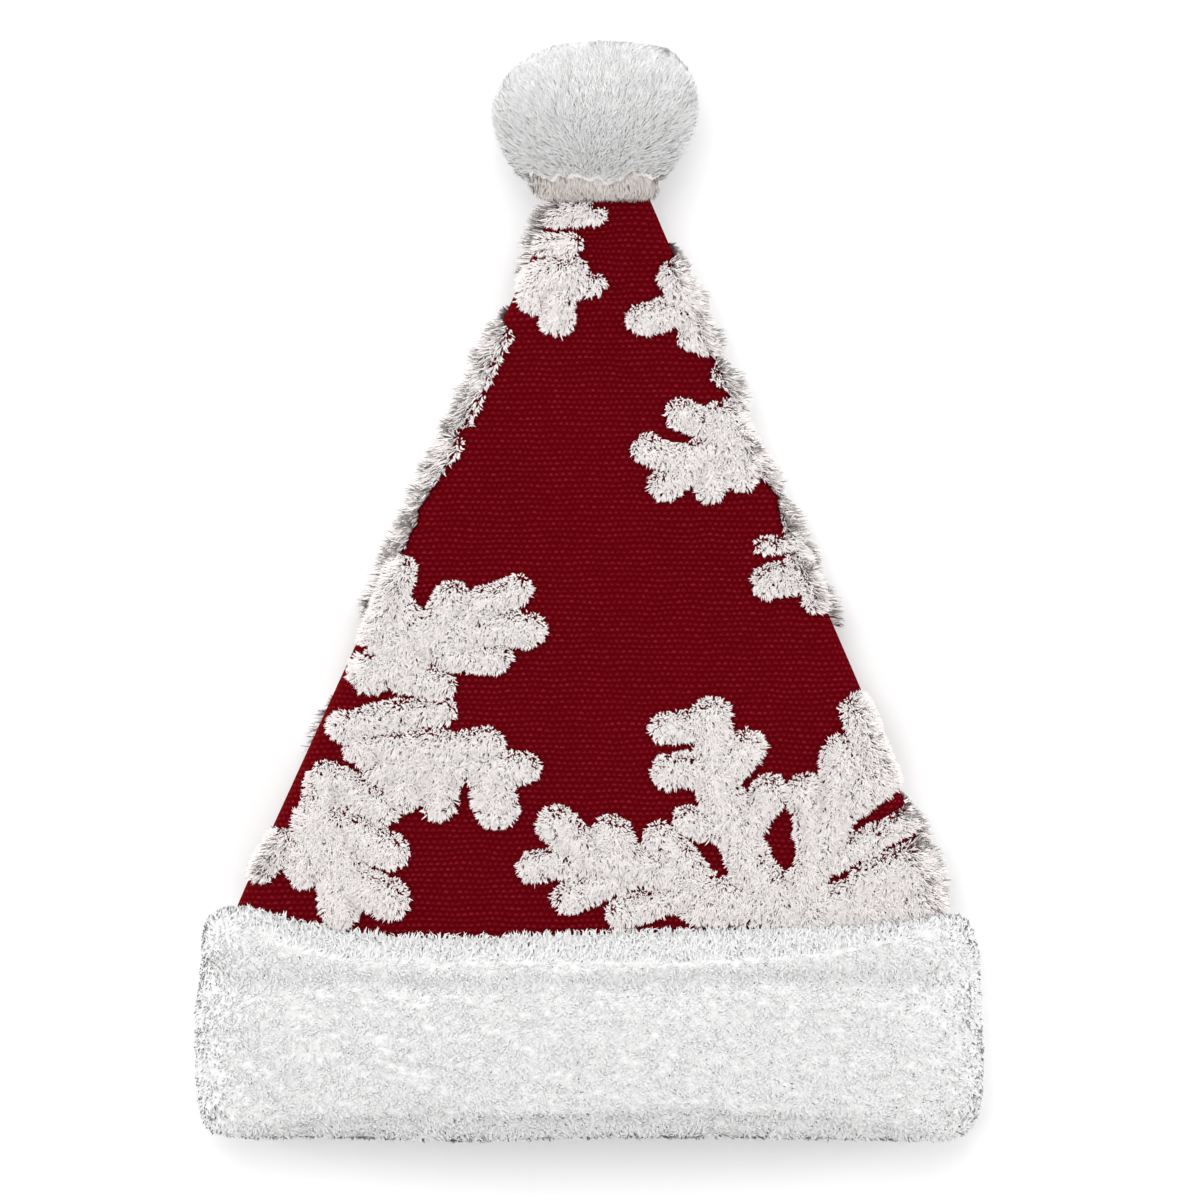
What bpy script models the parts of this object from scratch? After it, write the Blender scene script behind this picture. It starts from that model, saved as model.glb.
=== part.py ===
"""A knitted Christmas hat, empty and lying flat on its back on a table.

Red crown cloth, a white plush cuff folded up round its lower end, a white plush pompom over
its tip, and white plush snowflakes that stand up from the cloth. Lengths are in metres.
+X runs across the hat, +Y from the head opening to the pompom and +Z up from the table.
The origin is on the table, under the middle of the hat.
"""

import math
from collections import namedtuple

import bmesh
import bpy
from mathutils import Vector
from mathutils.geometry import delaunay_2d_cdt

MM = 0.001
GAP = 0.3 * MM  # between pieces that are sewn or pressed together

# The cuff: a band of plush, folded double
CUFF_STAND = 9 * MM  # how far each of its side folds stands out past the crown
CUFF_HEIGHT = 80 * MM  # from the hem to the rim
CUFF_LOFT = 52 * MM  # how high both of its walls and the hollow lie on the table
CUFF_FOLD = 21 * MM  # radius of its two side folds
HEM_WAVE = 4 * MM  # how far the hem wanders
RIM_WAVE = 9 * MM  # how far the rim rises towards the side folds

# The crown: a cone of knitted cloth, sewn into the cuff
CLOTH = 3 * MM
CROWN_WIDTH = 272 * MM  # where it enters the cuff
CROWN_LENGTH = 268 * MM  # from there to the pompom
CROWN_LOFT = 29 * MM  # how high it lies where it enters the cuff
FOLD_SHARE = 0.68  # how round its side folds are: 1 for a half circle as high as the crown
PERCH_SHARE = 0.35  # how far up its side the folds are: 0 on its underside, 1 at its top
TIP_WIDTH = 34 * MM  # where it enters the pompom
ENTRY_DEPTH = 6 * MM  # how far below the cuff's rim the crown starts to narrow
TUCK = 26 * MM  # how far the crown reaches into the cuff
CROWN_SHIFT = 2.6 * MM  # its middle, to the right of the cuff's
TIP_LEAN = 3 * MM  # how far the tip leans to the right of that
CUFF_DRAW = 6 * MM  # how far the cuff draws the crown's right side in
UNDERSIDE_RISE = 13 * MM  # how far the pompom lifts the tip off the table

# The pompom: a plush ball, gathered into a neck that takes the crown's tip
POMPOM_WIDTH = 76 * MM
POMPOM_LENGTH = 58 * MM
POMPOM_DEPTH = 56 * MM
POMPOM_SHIFT = 2.5 * MM
LOCK_HEIGHT = 3.5 * MM
POCKET_DEPTH = 8 * MM

# The snowflakes: tufted plush
PILE_HEIGHT = 5.5 * MM
LIMB_WIDTH = 13 * MM
SHORTEST_BRANCH = 10 * MM  # a shorter one would be lost in its arm
FLAKE_REACH = 88 * MM  # from the hub to the end of a long arm
FLAKE_GAP = 0.6 * MM
SEAM_CLEARANCE = 3 * MM  # bare cloth along the crown's back seam
FLAKE_CLEARANCE = 1.5 * MM  # bare cloth between two snowflakes
RIM_CLEARANCE = 1.2 * MM  # bare cloth between a snowflake and the cuff or the pompom
WELD = 0.5 * MM  # corners of a snowflake's outline and facets this close are one

FLAT_STEPS = 6  # facets across the upper or the lower side of a section
FOLD_STEPS = 6  # facets round a side fold
CROWN_STEPS = 9  # facets along the crown
POMPOM_STEPS = 20

CUFF_WIDTH = CROWN_WIDTH + 2 * CUFF_STAND
HAT_LENGTH = CUFF_HEIGHT - ENTRY_DEPTH + CROWN_LENGTH + POMPOM_LENGTH
HEM_Y = -HAT_LENGTH / 2
RIM_Y = HEM_Y + CUFF_HEIGHT
ENTRY_Y = RIM_Y - ENTRY_DEPTH
NECK_Y = ENTRY_Y + CROWN_LENGTH
TIP_Y = NECK_Y + POCKET_DEPTH
SEWN_Y = RIM_Y - TUCK

# How the crown lies. along: from the cuff to the pompom. lift: the underside's height, as a
# share of UNDERSIDE_RISE. loft: the height of the section, as a share of CROWN_LOFT.
# draw: how far its right side comes in, as a share of CUFF_DRAW.
Station = namedtuple("Station", "along lift loft draw")
CROWN_STATIONS = (
    Station(0.00, 0.42, 1.00, 1.00),
    Station(0.12, 0.29, 0.99, 0.60),
    Station(0.28, 0.10, 0.95, 0.00),
    Station(0.46, 0.03, 0.86, 0.00),
    Station(0.66, 0.09, 0.75, 0.00),
    Station(0.83, 0.40, 0.65, 0.00),
    Station(1.00, 1.00, 0.58, 0.00),
)

# The cuff's side folds, as shares of half its width. along: from the hem to the rim.
Side = namedtuple("Side", "along left right")
CUFF_SIDES = (
    Side(0.00, 0.985, 0.995),
    Side(0.18, 0.988, 1.000),
    Side(0.34, 0.996, 1.000),
    Side(0.50, 1.000, 0.997),
    Side(0.70, 0.988, 0.992),
    Side(0.82, 0.983, 0.991),
    Side(1.00, 0.985, 0.985),
)

# The cuff's wall in section, down its outside from rim to hem and in under the hem.
# along: from the hem to the rim. depth: from 0, its outer side, to 1, its inner side.
Turn = namedtuple("Turn", "along depth")
CUFF_OUTSIDE = (
    Turn(1.000, 0.80),
    Turn(0.985, 0.42),
    Turn(0.940, 0.12),
    Turn(0.860, 0.00),
    Turn(0.760, 0.09),
    Turn(0.660, 0.10),
    Turn(0.520, 0.00),
    Turn(0.250, 0.00),
    Turn(0.100, 0.06),
    Turn(0.025, 0.28),
    Turn(0.000, 0.55),
    Turn(0.020, 0.84),
    Turn(0.070, 1.00),
)

# The hem and the rim seen from above. across: from the left fold to the right one.
# rise: as a share of HEM_WAVE or RIM_WAVE.
Wave = namedtuple("Wave", "across rise")
HEM_LINE = (
    Wave(-1.00, 0.80),
    Wave(-0.86, 0.30),
    Wave(-0.70, 0.90),
    Wave(-0.45, 0.25),
    Wave(-0.20, 0.00),
    Wave(0.00, 0.65),
    Wave(0.25, 0.55),
    Wave(0.55, 0.40),
    Wave(0.72, 0.55),
    Wave(0.90, 0.00),
    Wave(1.00, 0.70),
)
RIM_LINE = (
    Wave(-1.00, 0.55),
    Wave(-0.88, 0.90),
    Wave(-0.72, 0.20),
    Wave(-0.42, -0.42),
    Wave(-0.15, -0.15),
    Wave(0.20, 0.02),
    Wave(0.55, 0.25),
    Wave(0.88, 0.55),
    Wave(1.00, 0.25),
)

# The pompom from its neck to its top, as shares of half its width and half its depth.
Ring = namedtuple("Ring", "along left right depth")
POMPOM_RINGS = (
    Ring(0.00, 0.50, 0.54, 0.46),
    Ring(0.11, 0.66, 0.62, 0.60),
    Ring(0.22, 0.82, 0.78, 0.78),
    Ring(0.34, 0.93, 0.87, 0.90),
    Ring(0.47, 0.99, 0.97, 0.98),
    Ring(0.60, 1.00, 1.00, 1.00),
    Ring(0.73, 0.90, 0.97, 0.95),
    Ring(0.86, 0.64, 0.83, 0.79),
    Ring(0.96, 0.32, 0.52, 0.46),
)

# A snowflake's arm: its pairs of branches. at: along the arm. length: as a share of the arm.
# spread: degrees between branch and arm.
Branch = namedtuple("Branch", "at length spread")
ARM_BRANCHES = (
    Branch(0.34, 0.34, 45),
    Branch(0.56, 0.31, 45),
    Branch(0.78, 0.25, 45),
)

# The snowflakes on the unrolled cloth. across: from the middle of the upper side, as a share
# of half the crown's width. up: from the cuff to the pompom. arms: degrees from +X and
# reach, as a share of FLAKE_REACH.
Flake = namedtuple("Flake", "name across up arms")
FLAKES = (
    Flake(
        "snowflake_front",
        0.53,
        0.055,
        ((18, 0.94), (66, 0.88), (117, 0.86), (172, 1.12), (196, 0.80)),
    ),
    Flake(
        "snowflake_left",
        -0.67,
        0.267,
        ((38, 0.95), (-10, 0.80), (-88, 0.76), (-124, 0.44), (165, 0.32), (80, 0.66)),
    ),
    Flake(
        "snowflake_right",
        0.545,
        0.660,
        ((186, 0.68), (119, 0.92), (240, 0.40), (275, 0.68), (-30, 0.50), (70, 0.50)),
    ),
    Flake(
        "snowflake_tip",
        -0.07,
        1.000,
        ((-108, 0.56), (-82, 0.58), (-150, 0.36)),
    ),
    Flake(
        "snowflake_back_top",
        -0.62,
        0.620,
        ((55, 0.80), (14, 0.30), (-40, 0.28), (-82, 0.50), (180, 0.40), (115, 0.50)),
    ),
    Flake(
        "snowflake_back_right",
        1.50,
        0.170,
        ((90, 0.62), (30, 0.50), (-30, 0.46), (150, 0.50), (210, 0.40)),
    ),
)


def mix(a, b, share):
    return a + (b - a) * share


def read(rows, column, at):
    """A column of a table, as a smooth curve through its rows. The first column is where."""
    places = [row[0] for row in rows]
    values = [getattr(row, column) for row in rows]
    at = min(max(at, places[0]), places[-1])
    last = len(rows) - 1
    k = max(i for i in range(last) if places[i] <= at)

    def slope(i):
        low, high = max(i - 1, 0), min(i + 1, last)
        return (values[high] - values[low]) / (places[high] - places[low])

    step = places[k + 1] - places[k]
    t = (at - places[k]) / step
    return (
        values[k] * (1 + 2 * t) * (1 - t) ** 2
        + slope(k) * step * t * (1 - t) ** 2
        + values[k + 1] * t * t * (3 - 2 * t)
        + slope(k + 1) * step * t * t * (t - 1)
    )


def bulge(share):
    """From 1 in the middle to 0, level, at either side."""
    return (1 - share * share) ** 2


def flat_loop(y, left, right, fold_radius, fold_height, top, bottom, inset):
    """A section of a flattened tube: two bulging sides joined by round folds.

    It starts in the middle of the lower side and goes round by the left fold. The inset
    moves it into the wall, and a negative one moves it off the cloth.
    """
    radius = fold_radius - inset
    middle, reach = (left + right) / 2, (right - left) / 2 - fold_radius
    points = []

    def across(start, stop, steps, upper):
        for k in range(steps):
            share = mix(start, stop, k / steps)
            if upper:
                z = fold_height + radius + (top - fold_height - fold_radius) * bulge(share)
            else:
                z = fold_height - radius - (fold_height - fold_radius - bottom) * bulge(share)
            points.append(Vector((middle + reach * share, y, z)))

    def fold(side, upwards):
        for k in range(FOLD_STEPS):
            turn = math.pi * k / FOLD_STEPS
            z = -math.cos(turn) if upwards else math.cos(turn)
            x = middle + side * (reach + radius * math.sin(turn))
            points.append(Vector((x, y, fold_height + radius * z)))

    across(0, -1, FLAT_STEPS // 2, upper=False)
    fold(-1, upwards=True)
    across(-1, 1, FLAT_STEPS, upper=True)
    fold(1, upwards=False)
    across(1, 0, FLAT_STEPS // 2, upper=False)
    return points


def crown_loop(y, inset):
    """The crown's section at y. Inside the cuff, below ENTRY_Y, it no longer widens."""
    along = max(0.0, (y - ENTRY_Y) / CROWN_LENGTH)
    half = mix(CROWN_WIDTH, TIP_WIDTH, along) / 2
    middle = CROWN_SHIFT + TIP_LEAN * along
    along = min(along, 1.0)
    loft = CROWN_LOFT * read(CROWN_STATIONS, "loft", along)
    fold_radius = loft / 2 * FOLD_SHARE
    bottom = PILE_HEIGHT + FLAKE_GAP + UNDERSIDE_RISE * read(CROWN_STATIONS, "lift", along)
    fold_height = bottom + fold_radius + PERCH_SHARE * (loft - 2 * fold_radius)
    right = middle + half - CUFF_DRAW * read(CROWN_STATIONS, "draw", along)
    return flat_loop(
        y, middle - half, right, fold_radius, fold_height, bottom + loft, bottom, inset
    )


def cuff_loop(y):
    """The cuff's outer section at y: its underside is flat on the table."""
    along = (y - HEM_Y) / CUFF_HEIGHT
    left = -CUFF_WIDTH / 2 * read(CUFF_SIDES, "left", along)
    right = CUFF_WIDTH / 2 * read(CUFF_SIDES, "right", along)
    return flat_loop(y, left, right, CUFF_FOLD, CUFF_FOLD, CUFF_LOFT, 0.0, 0.0)


def cuff_y(along, x):
    """A height on the cuff, from hem to rim, with the wander of both."""
    across = 2 * x / CUFF_WIDTH
    low = HEM_WAVE * read(HEM_LINE, "rise", across)
    high = RIM_WAVE * read(RIM_LINE, "rise", across)
    return HEM_Y + CUFF_HEIGHT * along + mix(low, high, along)


def loft(rings, joined=False):
    """A surface through rings of as many points each. It is capped, or joined end to end."""
    bm = bmesh.new()
    loops = [[bm.verts.new(point) for point in ring] for ring in rings]
    pairs = list(zip(loops, loops[1:]))
    if joined:
        pairs.append((loops[-1], loops[0]))
    for a, b in pairs:
        for k in range(len(a)):
            bm.faces.new((a[k - 1], a[k], b[k], b[k - 1]))
    if not joined:
        bm.faces.new(loops[0])
        bm.faces.new(reversed(loops[-1]))
    bmesh.ops.recalc_face_normals(bm, faces=bm.faces)
    return bm


def fabric(name, colour, roughness):
    material = bpy.data.materials.new(name)
    material.use_nodes = True
    shader = material.node_tree.nodes["Principled BSDF"]
    shader.inputs["Base Color"].default_value = (*colour, 1.0)
    shader.inputs["Roughness"].default_value = roughness
    shader.inputs["Metallic"].default_value = 0.0
    return material


def place(name, bm, material, smooth_degrees=35):
    """A named object at the origin, with its place in its mesh."""
    mesh = bpy.data.meshes.new(name)
    bm.to_mesh(mesh)
    bm.free()
    mesh.materials.append(material)
    mesh.shade_smooth()
    mesh.set_sharp_from_angle(angle=math.radians(smooth_degrees))
    item = bpy.data.objects.new(name, mesh)
    bpy.context.scene.collection.objects.link(item)
    return item


def make_crown():
    """One wall of cloth: up the inside, out over the lower edge and closed at the tip."""
    heights = [SEWN_Y, ENTRY_Y]
    heights += [mix(ENTRY_Y, NECK_Y, k / CROWN_STEPS) for k in range(1, CROWN_STEPS + 1)]
    outside = [crown_loop(y, 0.0) for y in [*heights, TIP_Y]]
    inside = [crown_loop(y, CLOTH) for y in [*heights, TIP_Y - CLOTH]]
    return loft([*reversed(inside), *outside])


def make_cuff():
    """A ring of plush. Its inner side follows the crown, and the crown's edge sits on a ledge."""
    rings = []
    for turn in CUFF_OUTSIDE:
        ring = []
        flat_y = HEM_Y + CUFF_HEIGHT * turn.along
        for k, point in enumerate(cuff_loop(flat_y)):
            y = cuff_y(turn.along, point.x)
            inset = CLOTH if y < SEWN_Y else -GAP
            outer = Vector((point.x, y, point.z))
            ring.append(outer.lerp(crown_loop(y, inset)[k], turn.depth))
        rings.append(ring)
    rings.append(crown_loop(mix(HEM_Y, SEWN_Y, 0.5), CLOTH))
    rings.append(crown_loop(SEWN_Y - GAP, CLOTH))
    rings.append(crown_loop(SEWN_Y - GAP, -GAP))
    rings.append(crown_loop(ENTRY_Y, -GAP))
    rim = crown_loop(RIM_Y, -GAP)
    for k, point in enumerate(rim):
        rim[k] = crown_loop(cuff_y(1.0, point.x) - 0.5 * MM, -GAP)[k]
    rings.append(rim)
    return loft(rings, joined=True)


def make_pompom():
    """A gathered ball: locks of plush stand on it all over, and its neck holds the tip."""
    rings = []
    for row in POMPOM_RINGS:
        ring = []
        for k in range(POMPOM_STEPS):
            turn = math.tau * k / POMPOM_STEPS
            half = POMPOM_WIDTH / 2 * (row.right if math.cos(turn) > 0 else row.left)
            x = POMPOM_SHIFT + (half - LOCK_HEIGHT * 0.6) * math.cos(turn)
            height = POMPOM_DEPTH / 2
            z = height + (height * row.depth - LOCK_HEIGHT * 0.6) * math.sin(turn)
            ring.append(Vector((x, NECK_Y + POMPOM_LENGTH * row.along, z)))
        rings.append(ring)
    bm = loft(rings)
    locks = [face for face in bm.faces if len(face.verts) == 4]
    bmesh.ops.poke(bm, faces=locks, offset=LOCK_HEIGHT)
    top = [face for face in bm.faces if face.calc_center_median().y > NECK_Y + POMPOM_LENGTH * 0.95]
    bmesh.ops.poke(bm, faces=[f for f in top if len(f.verts) > 4], offset=POMPOM_LENGTH * 0.04)
    for vert in bm.verts:
        vert.co.z = max(vert.co.z, 0.0)
    return bm


def limbs_of(flake):
    """A snowflake's arms and branches, as pairs of ends on the unrolled cloth."""
    hub = Vector((flake.across * CROWN_WIDTH / 2, mix(ENTRY_Y, NECK_Y, flake.up)))
    limbs = []
    for degrees, reach in flake.arms:
        length = reach * FLAKE_REACH

        def along(turn, distance):
            angle = math.radians(degrees + turn)
            return Vector((math.cos(angle), math.sin(angle))) * distance

        cap = LIMB_WIDTH / 2
        limbs.append((hub, hub + along(0, length - cap)))
        for branch in ARM_BRANCHES:
            foot = hub + along(0, length * branch.at)
            for side in (-1, 1):
                tip = along(side * branch.spread, length * branch.length - cap * 0.5)
                if tip.length > SHORTEST_BRANCH:
                    limbs.append((foot, foot + tip))
    return limbs


def limb_outline(start, end, half):
    """A limb's outline: a strip with a round end."""
    way = (end - start).normalized()
    aside = Vector((-way.y, way.x))
    turns = [math.pi * share for share in (1, 0.67, 0.33, 0)]
    ahead = [end + (aside * math.cos(turn) + way * math.sin(turn)) * half for turn in turns]
    return [start + aside * half, start - aside * half, *ahead]


def inside(outline, point):
    """Whether a point is in a convex outline that runs anticlockwise."""
    corners = zip(outline, [*outline[1:], outline[0]])
    return all((b - a).cross(point - a) > 0 for a, b in corners)


def depth_in(limbs, point):
    """How deep a point lies in a snowflake: 0 on its outline, 1 on a limb's middle line."""
    best = 0.0
    for start, end in limbs:
        way = end - start
        share = min(max((point - start).dot(way) / way.length_squared, 0.0), 1.0)
        off = (point - start - way * share).length
        best = max(best, 1 - off / (LIMB_WIDTH / 2))
    return best


def crown_facets(y, inset):
    """The crown's section at y as its facets have it: they run straight between stations."""
    steps = min(max((y - ENTRY_Y) / CROWN_LENGTH, 0.0), 1.0) * CROWN_STEPS
    k = min(int(steps), CROWN_STEPS - 1)
    low, high = (
        crown_loop(mix(ENTRY_Y, NECK_Y, end / CROWN_STEPS), inset) for end in (k, k + 1)
    )
    return [a.lerp(b, steps - k) for a, b in zip(low, high)]


def unrolled(y):
    """How far round each point of the crown's section is from the middle of its upper side."""
    loop = crown_facets(y, 0.0)
    loop.append(loop[0])
    run = [0.0]
    for a, b in zip(loop, loop[1:]):
        run.append(run[-1] + (b - a).length)
    return [distance - run[-1] / 2 for distance in run]


def on_crown(point, height):
    """The place of an unrolled point, at a height over the cloth."""
    run = unrolled(point.y)
    loop = crown_facets(point.y, -height)
    loop.append(loop[0])
    k = max(i for i in range(len(loop) - 1) if run[i] <= max(point.x, run[0]))
    share = (point.x - run[k]) / (run[k + 1] - run[k])
    return loop[k].lerp(loop[k + 1], min(max(share, 0.0), 1.0))


def crown_grid():
    """The facet lines of the unrolled crown, as rows of points."""
    heights = [mix(ENTRY_Y, NECK_Y, k / CROWN_STEPS) for k in range(CROWN_STEPS + 1)]
    return [[Vector((x, y)) for x in unrolled(y)] for y in heights]


def rim_on_cloth():
    """The cuff's rim on the unrolled cloth, with the clearance that the snowflakes keep."""
    loop = crown_facets(RIM_Y, 0.0)
    loop.append(loop[0])
    return [
        Vector((run, cuff_y(1.0, point.x) + RIM_CLEARANCE))
        for run, point in zip(unrolled(RIM_Y), loop)
    ]


def on_line(line, x):
    """The height of a line of points at x."""
    for a, b in zip(line, line[1:]):
        if a.x <= x <= b.x:
            return mix(a.y, b.y, (x - a.x) / (b.x - a.x))
    return line[0].y


def make_flake(limbs, taken, grid, rim):
    """A snowflake of plush, laid over the facets of the crown and as high as its pile.

    It stops short of the limbs that are taken, the cuff's rim, the pompom and the back seam.
    """
    points, edges = [], []

    def add_line(line):
        first = len(points)
        points.extend(line)
        edges.extend((first + k, first + k + 1) for k in range(len(line) - 1))

    own = [limb_outline(*limb, LIMB_WIDTH / 2) for limb in limbs]
    others = [limb_outline(*limb, LIMB_WIDTH / 2 + FLAKE_CLEARANCE) for limb in taken]
    for outline in own + others:
        add_line([*outline, outline[0]])
    for limb in limbs:
        add_line(limb)
    for row in grid:
        add_line(row)
    for column in range(len(grid[0])):
        add_line([row[column] for row in grid])
    add_line(rim)
    seams = [
        [row[end] - Vector((math.copysign(SEAM_CLEARANCE, row[end].x), 0)) for row in grid]
        for end in (0, -1)
    ]
    for seam in seams:
        add_line(seam)
    top_y = NECK_Y - LOCK_HEIGHT / 2 - RIM_CLEARANCE
    add_line([Vector((-CROWN_WIDTH, top_y)), Vector((CROWN_WIDTH, top_y))])

    verts, _, triangles, *_ = delaunay_2d_cdt(points, edges, [], 0, WELD, False)
    seam_lines = [[Vector((p.y, p.x)) for p in seam] for seam in seams]

    def kept(triangle):
        centre = sum((verts[k] for k in triangle), Vector((0, 0))) / 3
        if centre.y < on_line(rim, centre.x) or centre.y > top_y:
            return False
        if not any(inside(outline, centre) for outline in own):
            return False
        if any(inside(outline, centre) for outline in others):
            return False
        low, high = (on_line(line, centre.y) for line in seam_lines)
        return low < centre.x < high

    bm = bmesh.new()
    flat = [bm.verts.new((point.x, point.y, 0)) for point in verts]
    for triangle in filter(kept, triangles):
        bm.faces.new([flat[k] for k in triangle])
    bm.normal_update()
    keep_largest(bm)
    bmesh.ops.delete(bm, geom=[v for v in bm.verts if not v.link_faces], context="VERTS")
    raise_patch(bm, limbs)
    return bm


def raise_patch(bm, limbs):
    """Turns a flat patch of unrolled cloth into a body on the crown, as high as the pile."""
    for face in bm.faces:
        if face.normal.z < 0:
            face.normal_flip()
    low = list(bm.verts)
    base = list(bm.faces)
    rims = [edge.link_loops[0] for edge in bm.edges if edge.is_boundary]
    rims = [(loop.vert, loop.link_loop_next.vert) for loop in rims]
    high = {}
    for vert in low:
        rise = 0.45 + 0.55 * min(1.0, 1.6 * depth_in(limbs, vert.co.xy))
        high[vert] = bm.verts.new(on_crown(vert.co.xy, FLAKE_GAP + PILE_HEIGHT * rise))
        vert.co = on_crown(vert.co.xy, FLAKE_GAP)
    for face in base:
        bm.faces.new([high[vert] for vert in face.verts])
        face.normal_flip()
    for a, b in rims:
        bm.faces.new((a, b, high[b], high[a]))


def fans_at(vert):
    """The faces round a vertex, in groups that share edges there."""
    left, fans = set(vert.link_faces), []
    while left:
        todo, fan = [left.pop()], []
        while todo:
            face = todo.pop()
            fan.append(face)
            for edge in face.edges:
                near = [other for other in edge.link_faces if other in left and vert in edge.verts]
                left.difference_update(near)
                todo.extend(near)
        fans.append(fan)
    return sorted(fans, key=len)


def islands_of(bm):
    """The faces in groups that share edges, the largest group last."""
    left, islands = set(bm.faces), []
    while left:
        todo, island = [left.pop()], []
        while todo:
            face = todo.pop()
            island.append(face)
            near = {other for edge in face.edges for other in edge.link_faces} & left
            left -= near
            todo.extend(near)
        islands.append(island)
    return sorted(islands, key=len)


def keep_largest(bm):
    """Keeps a snowflake's largest patch, and no two parts of it that meet in a point only."""
    while True:
        spare = [face for island in islands_of(bm)[:-1] for face in island]
        pinched = [fans_at(vert) for vert in bm.verts]
        spare += [face for fans in pinched for fan in fans[:-1] for face in fan]
        if not spare:
            return
        bmesh.ops.delete(bm, geom=list(set(spare)), context="FACES_ONLY")


def main():
    for item in list(bpy.data.objects):
        bpy.data.objects.remove(item)
    red = fabric("crown_cloth", (0.13, 0.003, 0.006), 0.95)
    white = fabric("cuff_plush", (0.80, 0.80, 0.81), 1.0)
    silver = fabric("pompom_plush", (0.68, 0.67, 0.67), 1.0)
    cream = fabric("flake_plush", (0.70, 0.65, 0.63), 1.0)

    place("crown", make_crown(), red)
    place("cuff", make_cuff(), white)

    pompom = place("pompom", make_pompom(), silver)
    pocket_heights = (NECK_Y - POCKET_DEPTH, NECK_Y, TIP_Y + GAP)
    pocket = place("pompom_pocket", loft([crown_loop(y, -GAP) for y in pocket_heights]), silver)
    pocket.hide_render = True
    pocket.display_type = "WIRE"
    cut = pompom.modifiers.new("pocket", "BOOLEAN")
    cut.object = pocket
    cut.operation = "DIFFERENCE"

    grid, rim, taken = crown_grid(), rim_on_cloth(), []
    for flake in FLAKES:
        limbs = limbs_of(flake)
        place(flake.name, make_flake(limbs, taken, grid, rim), cream)
        taken += limbs


main()
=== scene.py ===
"""A knitted Christmas hat with plush snowflakes, pompom and cuff, seen from straight above.

Every length is in metres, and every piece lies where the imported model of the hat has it.
"""

import math

import bmesh
import bpy
import numpy as np
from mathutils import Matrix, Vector, noise
from mathutils.bvhtree import BVHTree


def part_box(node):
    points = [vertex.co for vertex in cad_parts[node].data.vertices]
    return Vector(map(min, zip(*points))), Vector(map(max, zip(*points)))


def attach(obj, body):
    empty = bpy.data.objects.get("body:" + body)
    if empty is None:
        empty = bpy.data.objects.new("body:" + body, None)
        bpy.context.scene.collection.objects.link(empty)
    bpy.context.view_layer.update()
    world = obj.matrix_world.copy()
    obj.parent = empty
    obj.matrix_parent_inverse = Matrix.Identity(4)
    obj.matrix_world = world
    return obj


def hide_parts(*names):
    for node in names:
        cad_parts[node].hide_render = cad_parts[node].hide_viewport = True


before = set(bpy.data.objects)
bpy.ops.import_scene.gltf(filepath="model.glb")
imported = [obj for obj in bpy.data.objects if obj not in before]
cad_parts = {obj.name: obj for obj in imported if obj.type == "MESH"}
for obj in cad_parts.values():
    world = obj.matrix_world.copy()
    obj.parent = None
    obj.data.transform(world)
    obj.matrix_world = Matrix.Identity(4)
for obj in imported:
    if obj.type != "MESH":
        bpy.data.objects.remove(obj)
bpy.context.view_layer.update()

MM = 0.001

# The photographer's table: a pale plain board under a large soft light and a softer fill from
# each side, with the camera on a boom straight above the hat.
PHOTO_WIDTH = 432 * MM
CAMERA_HEIGHT = 2.6
VIEW_MIDDLE = (4.3 * MM, -2.2 * MM, 30 * MM)
SENSOR = 36  # millimetres, as the lens
SKY_STRENGTH = 0.56
TABLE_REACH = 6.0  # from its middle to each edge

camera = bpy.data.objects.new("boom_camera", bpy.data.cameras.new("boom_camera"))
camera.data.sensor_width = SENSOR
camera.data.lens = SENSOR * (CAMERA_HEIGHT - VIEW_MIDDLE[2]) / PHOTO_WIDTH
camera.location = (VIEW_MIDDLE[0], VIEW_MIDDLE[1], CAMERA_HEIGHT)
bpy.context.scene.collection.objects.link(camera)
bpy.context.scene.camera = camera


def soft_light(name, place, width, watts):
    """A round soft light that faces the middle of the table."""
    lamp = bpy.data.lights.new(name, "AREA")
    lamp.shape = "DISK"
    lamp.size = width
    lamp.energy = watts
    holder = bpy.data.objects.new(name, lamp)
    holder.location = place
    holder.rotation_euler = Vector(place).to_track_quat("Z", "Y").to_euler()
    bpy.context.scene.collection.objects.link(holder)


soft_light("overhead_light", (-0.2, 0.7, 2.0), 1.8, 22)
soft_light("left_fill", (-1.7, -0.1, 0.8), 1.4, 18)
soft_light("right_fill", (1.7, -0.2, 0.8), 1.4, 18)
soft_light("far_fill", (0.2, 1.9, 0.8), 1.4, 8)

sky = bpy.data.worlds.new("studio")
sky.use_nodes = True
glow = sky.node_tree.nodes["Background"].inputs
glow["Color"].default_value = (1, 1, 1, 1)
glow["Strength"].default_value = SKY_STRENGTH
bpy.context.scene.world = sky
bpy.context.scene.view_settings.view_transform = "Standard"

table_mesh = bmesh.new()
bmesh.ops.create_grid(table_mesh, x_segments=1, y_segments=1, size=TABLE_REACH)
table_data = bpy.data.meshes.new("table")
table_mesh.to_mesh(table_data)
table_mesh.free()
table = bpy.data.objects.new("table", table_data)
bpy.context.scene.collection.objects.link(table)
board = bpy.data.materials.new("pale_board")
board.use_nodes = True
paint = board.node_tree.nodes["Principled BSDF"].inputs
paint["Base Color"].default_value = (0.93, 0.93, 0.93, 1)
paint["Roughness"].default_value = 0.8
paint["Specular IOR Level"].default_value = 0.1
table_data.materials.append(board)


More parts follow.
